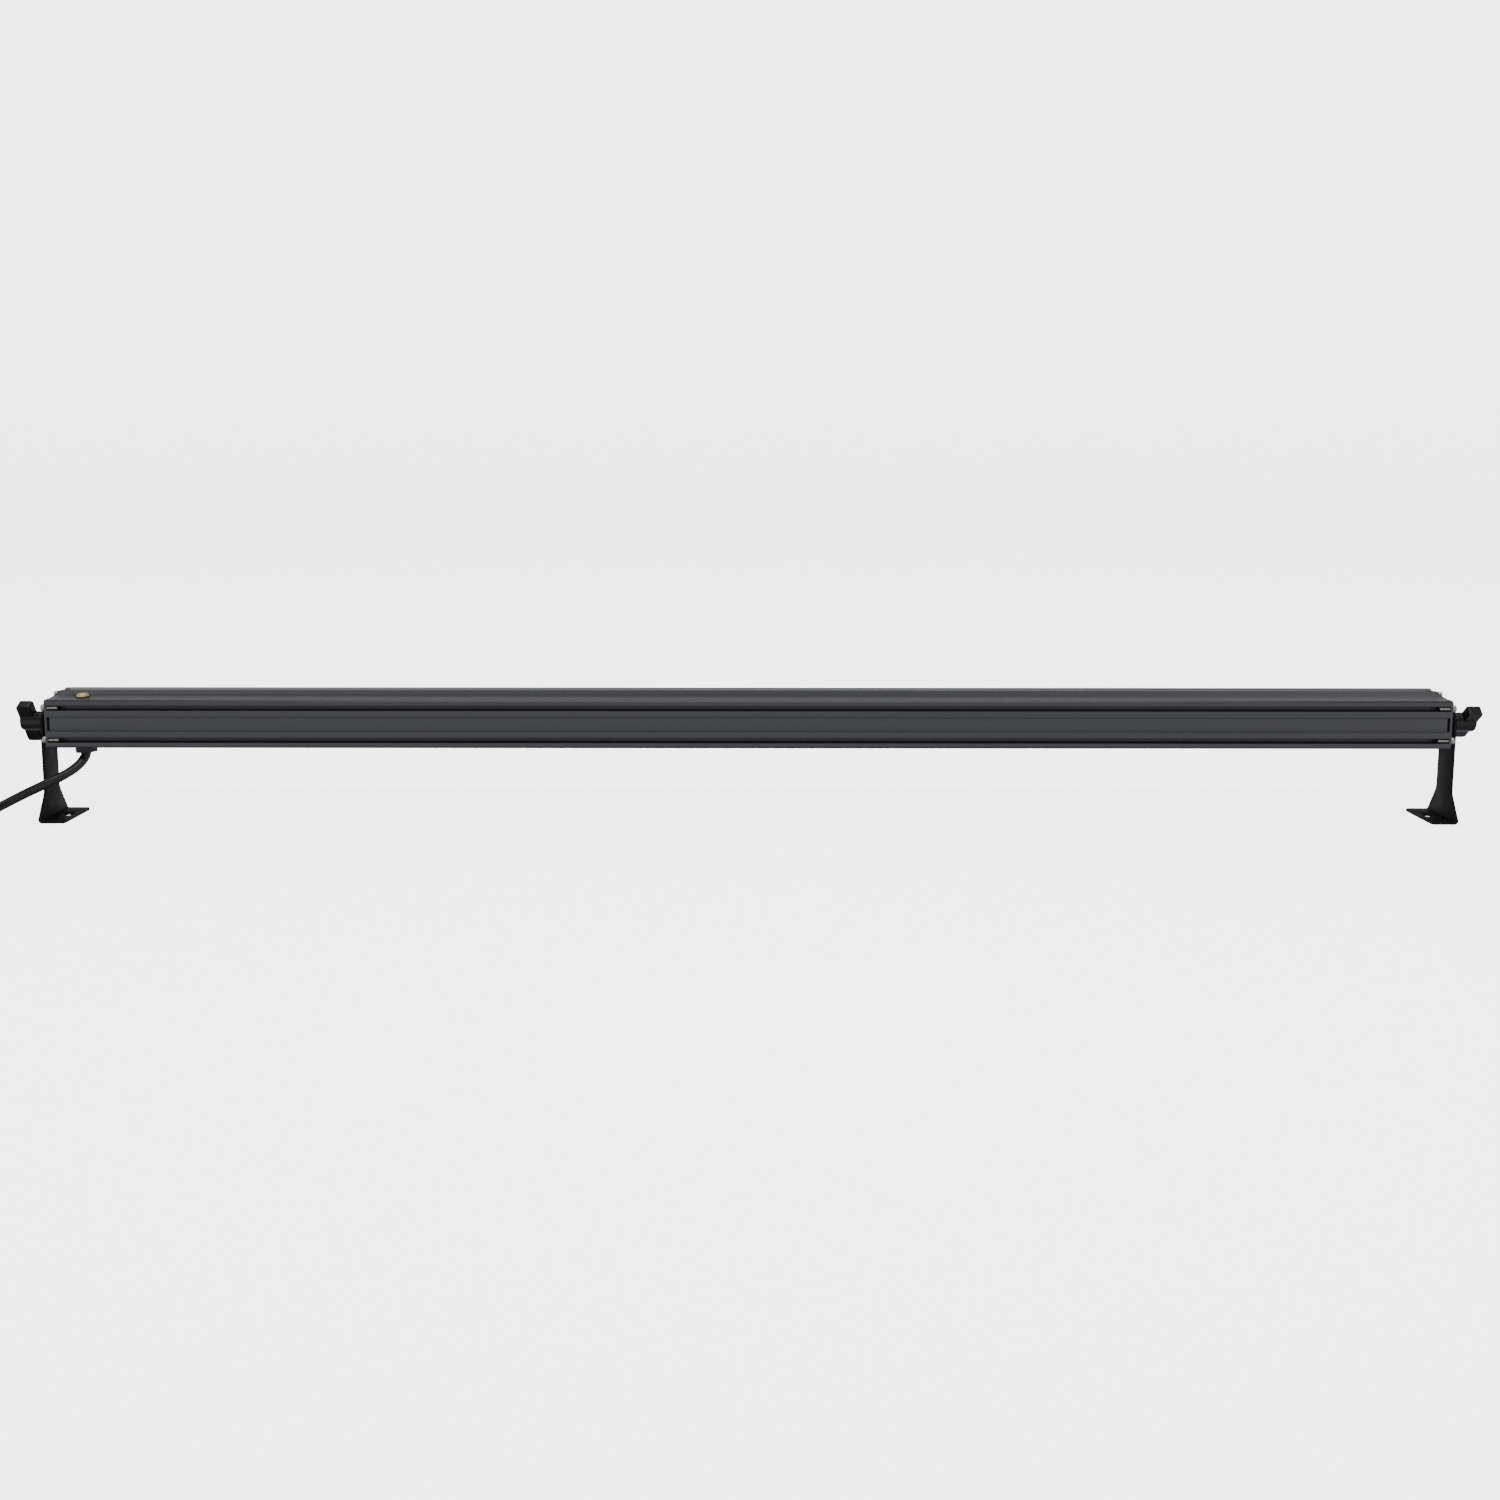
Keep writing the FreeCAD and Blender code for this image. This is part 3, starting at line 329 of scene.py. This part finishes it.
EXTRUDED = (0.02, 1.0, 1.0)      # long streaks along the bar
MATERIALS = {
    "black_anodised": grained(
        "black_anodised", (0.030, 0.031, 0.037), 0.40, 1400.0, 0.08, 0.04, 4e-6, 20.0, EXTRUDED),
    "black_powder": powder_coat("black_powder", (0.0045, 0.0045, 0.005), 0.60),
    # The steel is darker than bare stainless: painted shade, for the screws that sit deep in their
    # channels.
    "stainless": grained(
        "stainless", (0.34, 0.32, 0.30), 0.32, 3200.0, 0.08, 0.08, 4e-6, 300.0, metallic=1.0),
    "zinc_steel": grained(
        "zinc_steel", (0.52, 0.53, 0.55), 0.30, 2600.0, 0.10, 0.08, 4e-6, 260.0, metallic=1.0),
    "brass": grained("brass", (0.66, 0.49, 0.24), 0.20, 2600.0, 0.14, 0.08, 4e-6, 320.0, metallic=1.0),
    "knob_plastic": grained(
        "knob_plastic", (0.005, 0.005, 0.0055), 0.32, 1700.0, 0.18, 0.06, 1.2e-5, 60.0,
        Specular_IOR_Level=0.3),
    "black_rubber": grained("black_rubber", (0.016, 0.016, 0.017), 0.62, 1300.0, 0.18, 0.07, 2e-5, 70.0),
    "grey_silicone": grained("grey_silicone", (0.05, 0.05, 0.053), 0.55, 1200.0, 0.12, 0.06, 1e-5, 60.0),
    "clear_lens": lens_plastic("clear_lens"),
    "bright_reflector": grained(
        "bright_reflector", (0.90, 0.91, 0.92), 0.07, 900.0, 0.02, 0.03, 2e-6, 120.0, metallic=1.0),
    "white_board": grained("white_board", (0.82, 0.82, 0.79), 0.38, 1500.0, 0.03, 0.05, 6e-6, 50.0),
    "green_board": grained("green_board", (0.02, 0.16, 0.06), 0.34, 1200.0, 0.10, 0.05, 6e-6, 60.0),
    "black_component": grained("black_component", (0.022, 0.022, 0.022), 0.55, 1700.0, 0.2, 0.06, 1e-5),
    "capacitor_can": grained(
        "capacitor_can", (0.56, 0.57, 0.60), 0.30, 1400.0, 0.06, 0.06, 4e-6, 150.0, metallic=1.0),
    "terminal_green": grained("terminal_green", (0.04, 0.30, 0.12), 0.45, 1400.0, 0.08, 0.05, 8e-6),
    "wire_insulation": grained("wire_insulation", (0.42, 0.02, 0.02), 0.42, 1500.0, 0.08, 0.05, 6e-6),
    "cord_jacket": grained(
        "cord_jacket", (0.007, 0.007, 0.0085), 0.42, 1100.0, 0.2, 0.07, 1.8e-5, 45.0,
        Specular_IOR_Level=0.35),
    "strap_fabric": woven("strap_fabric", (0.018, 0.018, 0.019)),
    "connector_black": grained(
        "connector_black", (0.018, 0.018, 0.019), 0.42, 1500.0, 0.15, 0.06, 1.4e-5, 90.0),
    "seal_orange": grained("seal_orange", (0.62, 0.16, 0.03), 0.50, 1200.0, 0.08, 0.06, 8e-6, 90.0),
}
led_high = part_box("led_emitters_1")[1]
DOME_R = 2.0 * MM
MATERIALS["led_package"] = emitter_finish("led_package", led_high.y - DOME_R)

SLOT_OF = {part["node"]: part["material_slot"] for part in frame["record"]["subparts"]}


def dress(obj, node):
    """Gives a piece that stands for a CAD node, or the node itself, its slot's finish."""
    slot = SLOT_OF[node]
    obj.data.materials.clear()
    obj.data.materials.append(MATERIALS[slot])
    return obj


for name, obj in NODES.items():
    dress(obj, name)

# --- camera -------------------------------------------------------------------------------
CAMERA_PLACE = (-14.5 * MM, -1280.6 * MM, 333.9 * MM)
CAMERA_DOWN = 6.73       # degrees below level
CAMERA_ROLL = -0.05
LENS_LENGTH = 33.6
SENSOR = 36.0
SHIFT = (0.0114, -0.0846)
camera_data = bpy.data.cameras.new("camera")
camera_data.lens = LENS_LENGTH
camera_data.sensor_width = SENSOR
camera_data.shift_x, camera_data.shift_y = SHIFT
camera_data.clip_start = 0.01
camera_data.clip_end = 100.0
camera = link("camera", camera_data)
camera.location = CAMERA_PLACE
camera.rotation_euler = (math.radians(90 - CAMERA_DOWN), math.radians(CAMERA_ROLL), 0)
bpy.context.scene.camera = camera

# --- power lead ---------------------------------------------------------------------------
CORD_D = 8.5 * MM
COIL_CENTRE = Vector((-758.0, -40.0, 0)) * MM
OUTER_TURN_R = 51.0 * MM
INNER_TURN_R = OUTER_TURN_R - CORD_D
TOP_TURN_R = (OUTER_TURN_R + INNER_TURN_R) / 2
LOW_TURN_Z = 5.05 * MM
LEAD_POINTS = [
    (-615.6, -1.0, 65.6),
    (-615.6, -1.0, 61.6),
    (-616.4, -2.8, 57.0),
    (-619.8, -8.6, 50.8),
    (-627.0, -17.5, 44.6),
    (-640.0, -26.5, 38.4),
    (-658.0, -30.0, 30.0),
    (-681.0, -27.0, 18.5),
    (-706.2, -14.6, 5.05),
    (-728.0, 1.3, 5.05),
]
TAIL_POINTS = [
    (-742.0, -88.0, 14.8),
    (-726.0, -92.2, 7.5),
    (-712.0, -92.2, 7.5),
]
COIL_STEP = 13           # degrees between the coil's points
TURN_START, TURN_END = 54, 990
STEP_IN = (354, 414)     # where the first turn steps in to the second lane
CLIMB = (664, 714)       # where the second turn climbs onto the first


def smooth(t):
    t = min(1.0, max(0.0, t))
    return t * t * (3 - 2 * t)


def low_lane_r(degrees):
    share = smooth((degrees - STEP_IN[0]) / (STEP_IN[1] - STEP_IN[0]))
    return OUTER_TURN_R + (INNER_TURN_R - OUTER_TURN_R) * share


def coil_point(degrees):
    """A point of the coil's centreline: two flat turns, then half a turn lying on both."""
    if degrees <= CLIMB[0]:
        r, z = low_lane_r(degrees), LOW_TURN_Z
    elif degrees < CLIMB[1]:
        roll = math.radians(60 * smooth((degrees - CLIMB[0]) / (CLIMB[1] - CLIMB[0])))
        r = OUTER_TURN_R - CORD_D * math.cos(roll)
        z = LOW_TURN_Z + CORD_D * math.sin(roll)
    else:
        under = TOP_TURN_R - low_lane_r(degrees - 360)
        r, z = TOP_TURN_R, LOW_TURN_Z + math.sqrt(CORD_D ** 2 - under ** 2)
    a = math.radians(degrees)
    return COIL_CENTRE + Vector((r * math.cos(a), r * math.sin(a), z))


def cord_points():
    points = [Vector(p) * MM for p in LEAD_POINTS]
    points += [coil_point(a) for a in range(TURN_START + COIL_STEP, TURN_END + 1, COIL_STEP)]
    return points + [Vector(p) * MM for p in TAIL_POINTS]


def make_cord():
    curve = bpy.data.curves.new("power_lead", "CURVE")
    curve.dimensions = "3D"
    spline = curve.splines.new("NURBS")
    points = cord_points()
    spline.points.add(len(points) - 1)
    for point, place in zip(spline.points, points):
        point.co = (*place, 1)
    spline.order_u = 3
    spline.use_endpoint_u = True
    spline.resolution_u = 8
    curve.bevel_depth = CORD_D / 2
    curve.bevel_resolution = 5
    curve.use_fill_caps = True
    obj = bpy.data.objects.new("power_lead", curve)
    bpy.context.scene.collection.objects.link(obj)
    obj.data.materials.append(MATERIALS["cord_jacket"])
    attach(obj, "bar")
    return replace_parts(obj, "cord_lead", "cord_coil", "cord_tail")


power_lead = make_cord()

# --- pieces with eased edges --------------------------------------------------------------
EASED = {
    "housing": 0.25 * MM,
    "back_strip": 0.2 * MM,
    "top_bezel_rail": 0.3 * MM,
    "bottom_bezel_rail": 0.3 * MM,
    "left_end_plate": 0.3 * MM,
    "right_end_plate": 0.3 * MM,
    "left_bracket": 0.4 * MM,
    "right_bracket": 0.4 * MM,
    "left_end_screws": 0.15 * MM,
    "right_end_screws": 0.15 * MM,
    "gland_body": 0.5 * MM,
    "vent_body": 0.25 * MM,
    "left_clamp_washer": 0.25 * MM,
    "right_clamp_washer": 0.25 * MM,
    "coil_tie": 0.3 * MM,
    "connector_shell": 0.4 * MM,
    "connector_latch": 0.3 * MM,
}
pieces = {node: dress(eased(node, width), node) for node, width in EASED.items()}


# --- knobs --------------------------------------------------------------------------------
KNOB_VOXEL = 0.45 * MM
DISH_R = 6.2 * MM
DISH_DEPTH = 1.2 * MM
BUTTON_R = 4.2 * MM


def make_knob(side):
    """The moulded wing knob: the CAD shape with rounded edges and a dished end."""
    node = side + "_knob"
    sign = SIDES[side]
    low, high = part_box(node)
    end_x = max(abs(low.x), abs(high.x))
    mesh = NODES[node].data.copy()
    if mesh.has_custom_normals:
        mesh.attributes.remove(mesh.attributes["custom_normal"])
    cleaned(mesh)
    obj = link(node + "_moulded", mesh)
    place = outward_x(sign, end_x, 0, PIVOT_Z)
    dish = lathe("dish", [
        (-DISH_DEPTH, BUTTON_R + 0.3 * MM), (-DISH_DEPTH, DISH_R - 0.3 * MM),
        (1 * MM, DISH_R), (1 * MM, BUTTON_R)], 48, place, closed=True)
    cut = obj.modifiers.new("dish", "BOOLEAN")
    cut.operation, cut.solver, cut.object = "DIFFERENCE", "EXACT", dish
    remesh = obj.modifiers.new("skin", "REMESH")
    remesh.mode, remesh.voxel_size = "VOXEL", KNOB_VOXEL
    soften = obj.modifiers.new("soften", "SMOOTH")
    soften.factor, soften.iterations = 0.5, 7
    apply_modifiers(obj)
    bpy.data.objects.remove(dish)
    obj.data.shade_smooth()
    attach(obj, NODES[node]["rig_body"])
    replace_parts(obj, node)
    return dress(obj, node)


# --- screw threads ------------------------------------------------------------------------
THREAD_STEPS = 28
THREAD_PITCH = 1.3 * MM
THREAD_CREST = 2.45 * MM
THREAD_ROOT = 2.05 * MM
TIP_LENGTH = 2.6 * MM            # each screw's plain tip
THREAD_STOP = 5.5 * MM           # the threads end this far inside the end plate's face
RUN_OUT = 0.1 * MM               # the end rings sink this far into the shank


def make_threads(side):
    """The self-cut threads of the end screws, seen in the mouths of the two channels."""
    node = side + "_end_screws"
    sign = SIDES[side]
    low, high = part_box(node)
    tip = min(abs(low.x), abs(high.x)) + TIP_LENGTH
    stop = plate_high.x - THREAD_STOP
    bm = bmesh.new()
    for z_sign in (1, -1):
        centre_z = PIVOT_Z + z_sign * CHANNEL_OFFSET
        ring_count = int((stop - tip) / THREAD_PITCH) * 2
        rings = []
        for i in range(ring_count + 1):
            ring = []
            for k in range(THREAD_STEPS):
                a = 2 * math.pi * k / THREAD_STEPS
                r = THREAD_CREST if i % 2 else THREAD_ROOT
                if i in (0, ring_count):
                    r = THREAD_ROOT - RUN_OUT
                x = tip + THREAD_PITCH * (i / 2 + k / THREAD_STEPS)
                place = (sign * x, CHANNEL_Y + r * math.cos(a), centre_z + r * math.sin(a))
                ring.append(bm.verts.new(place))
            rings.append(ring)
        line = [v for ring in rings for v in ring]
        for n in range(len(line) - THREAD_STEPS - 1):
            bm.faces.new((line[n], line[n + 1], line[n + 1 + THREAD_STEPS], line[n + THREAD_STEPS]))
    bmesh.ops.recalc_face_normals(bm, faces=bm.faces)
    mesh = bpy.data.meshes.new(side + "_screw_threads")
    bm.to_mesh(mesh)
    bm.free()
    obj = link(side + "_screw_threads", mesh)
    shade_smooth(obj, 60.0)
    return finish_piece(obj, "bar", "stainless")


# --- small turned pieces ------------------------------------------------------------------
NOTCH_DEPTH = 0.045              # the vent cap's rim notches, as a share of its radius


def make_vent_cap():
    """The breather's cap: a low dome with a finely notched rim."""
    low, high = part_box("vent_cap")
    r, h = (high.x - low.x) / 2, high.z - low.z
    profile = [
        (0.0, 0.93 * r), (0.08 * h, r), (0.55 * h, r), (0.72 * h, 0.97 * r), (0.86 * h, 0.88 * r),
        (0.94 * h, 0.72 * r), (0.99 * h, 0.50 * r), (h, 0.30 * r), (0.94 * h, 0.20 * r),
        (0.80 * h, 0.16 * r)]
    steps, notches = 96, 24
    cap = lathe("vent_cap_turned", profile, steps, Matrix.Translation((VENT.x, VENT.y, low.z)))
    for i, vert in enumerate(cap.data.vertices):
        ring, k = divmod(i, steps)
        if 1 <= ring <= 3:
            depth = NOTCH_DEPTH * (0.5 - 0.5 * math.cos(2 * math.pi * notches * k / steps))
            vert.co.x = VENT.x + (vert.co.x - VENT.x) * (1 - depth)
            vert.co.y = VENT.y + (vert.co.y - VENT.y) * (1 - depth)
    shade_smooth(cap, 50.0)
    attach(cap, "bar")
    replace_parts(cap, "vent_cap")
    return dress(cap, "vent_cap")


def make_gland_lip():
    """The rubber lip that squeezes out round the lead at the gland's mouth."""
    r = CORD_D / 2
    profile = [
        (1.2 * MM, r + 1.4 * MM), (0.0, r + 1.35 * MM), (-0.8 * MM, r + 1.1 * MM),
        (-1.2 * MM, r + 0.6 * MM), (-1.0 * MM, r - 0.1 * MM), (1.2 * MM, r - 0.1 * MM)]
    lip = lathe("gland_lip", profile, 40, Matrix.Translation(GLAND), closed=True)
    shade_smooth(lip, 50.0)
    return finish_piece(lip, "bar", "black_rubber")


def make_boot():
    """The connector's moulded boot, with four grooves round it."""
    low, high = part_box("connector_boot")
    length, big_r = high.x - low.x, (high.z - low.z) / 2
    small_r = CORD_D / 2 + 1.0 * MM
    profile = [(0.0, CORD_D / 2), (0.0, small_r - 0.3 * MM), (0.4 * MM, small_r)]
    grooves = 4
    for g in range(grooves):
        for share, sink in ((0.25, 0.0), (0.40, 0.8), (0.60, 0.8), (0.75, 0.0)):
            t = (g + share) / (grooves + 0.6)
            profile.append((t * length, small_r + (big_r - small_r) * t - sink * MM))
    profile += [(length, big_r), (length, 1.0 * MM)]
    turn = Matrix.Rotation(math.radians(90), 4, "Y")
    centre = (low + high) / 2
    start = Matrix.Translation((low.x, centre.y, centre.z))
    boot = lathe("connector_boot_ribbed", profile, 40, start @ turn)
    shade_smooth(boot, 40.0)
    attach(boot, "bar")
    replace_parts(boot, "connector_boot")
    return dress(boot, "connector_boot")


for end in SIDES:
    make_knob(end)
    make_threads(end)
make_vent_cap()
make_gland_lip()
connector_boot = make_boot()

# --- floor and light ----------------------------------------------------------------------
FLOOR_R = 9.0
COVE_R = 3.0
COVE_TOP = 4.5
COVE_STEPS = 8
PAPER_GLOW = 3.6                 # the backdrop is lit separately, so it shows nearly white


def studio_paper():
    """Matte white paper that glows evenly, standing in for paper lit by its own lamps."""
    s = Surface("studio_paper", (0.93, 0.93, 0.93), 0.9)
    tone = s.noise(2.0, 2.0)
    s.shader.inputs["Emission Color"].default_value = (1.0, 1.0, 1.0, 1)
    s.shader.inputs["Emission Strength"].default_value = PAPER_GLOW
    return s.done(s.tones(tone, 0.005), s.ranged(tone, 0.88, 0.92))


def make_studio():
    """A round pale floor that sweeps up into a wall all the way round."""
    profile = [(0.0, 0.0005), (0.0, 1.0), (0.0, 3.0), (0.0, FLOOR_R - COVE_R)]
    for k in range(1, COVE_STEPS + 1):
        a = math.radians(90 * k / COVE_STEPS)
        profile.append((COVE_R - COVE_R * math.cos(a), FLOOR_R - COVE_R + COVE_R * math.sin(a)))
    profile.append((COVE_TOP, FLOOR_R))
    verts, faces = [], []
    steps = 64
    for h, r in profile:
        for k in range(steps):
            a = 2 * math.pi * k / steps
            verts.append((r * math.cos(a), r * math.sin(a), h))
    for i in range(len(profile) - 1):
        for k in range(steps):
            n = (k + 1) % steps
            faces.append((i * steps + k, i * steps + n, (i + 1) * steps + n, (i + 1) * steps + k))
    studio = mesh_from("studio_floor", verts, faces)
    studio.data.shade_smooth()
    studio.data.materials.append(studio_paper())
    studio.visible_diffuse = False
    studio.visible_glossy = False
    studio.visible_transmission = False


def add_area(name, place, target, size, power):
    data = bpy.data.lights.new(name, "AREA")
    data.shape = "RECTANGLE"
    data.size, data.size_y = size
    data.energy = power
    obj = bpy.data.objects.new(name, data)
    bpy.context.scene.collection.objects.link(obj)
    obj.location = place
    obj.rotation_mode = "QUATERNION"
    obj.rotation_quaternion = (Vector(target) - Vector(place)).to_track_quat("-Z", "Y")


# The surround's height from -1 (straight down) to 1 (straight up), its brightness there, and how
# much bluer than grey it is.
SURROUND = (
    (-0.16, 0.92, 1.06),
    (0.0, 0.85, 1.03),
    (0.17, 0.78, 1.0),
    (0.42, 0.20, 1.0),
    (0.72, 0.08, 1.0),
)
BELOW = (0.20, 0.21, 0.23, 1)
OVERHEAD = (0.34, 0.34, 0.35, 1)
SURROUND_STRENGTH = 1.3


def make_world():
    """A soft surround that is brightest round the horizon and dim overhead and below."""
    world = bpy.data.worlds.new("studio")
    world.use_nodes = True
    tree = world.node_tree
    place = tree.nodes.new("ShaderNodeTexCoord")
    split = tree.nodes.new("ShaderNodeSeparateXYZ")
    tree.links.new(place.outputs["Generated"], split.inputs[0])
    ramp = tree.nodes.new("ShaderNodeValToRGB")
    stops = ramp.color_ramp.elements
    stops[0].position, stops[0].color = 0.0, BELOW
    stops[1].position, stops[1].color = 1.0, OVERHEAD
    for height, level, blue in SURROUND:
        stop = stops.new((height + 1) / 2)
        stop.color = (level, level, level * blue, 1)
    span = tree.nodes.new("ShaderNodeMapRange")
    span.inputs["From Min"].default_value = -1.0
    span.inputs["From Max"].default_value = 1.0
    tree.links.new(split.outputs["Z"], span.inputs["Value"])
    tree.links.new(span.outputs["Result"], ramp.inputs["Fac"])
    tree.links.new(ramp.outputs["Color"], tree.nodes["Background"].inputs["Color"])
    tree.nodes["Background"].inputs["Strength"].default_value = SURROUND_STRENGTH
    bpy.context.scene.world = world


make_studio()
make_world()
add_area("top_softbox", (0.0, 0.2, 2.2), (0, 0, 0.1), (3.2, 0.6), 26.0)
add_area("near_strip", (0.0, -0.9, 1.5), (0, 0, 0.1), (3.0, 0.16), 22.0)
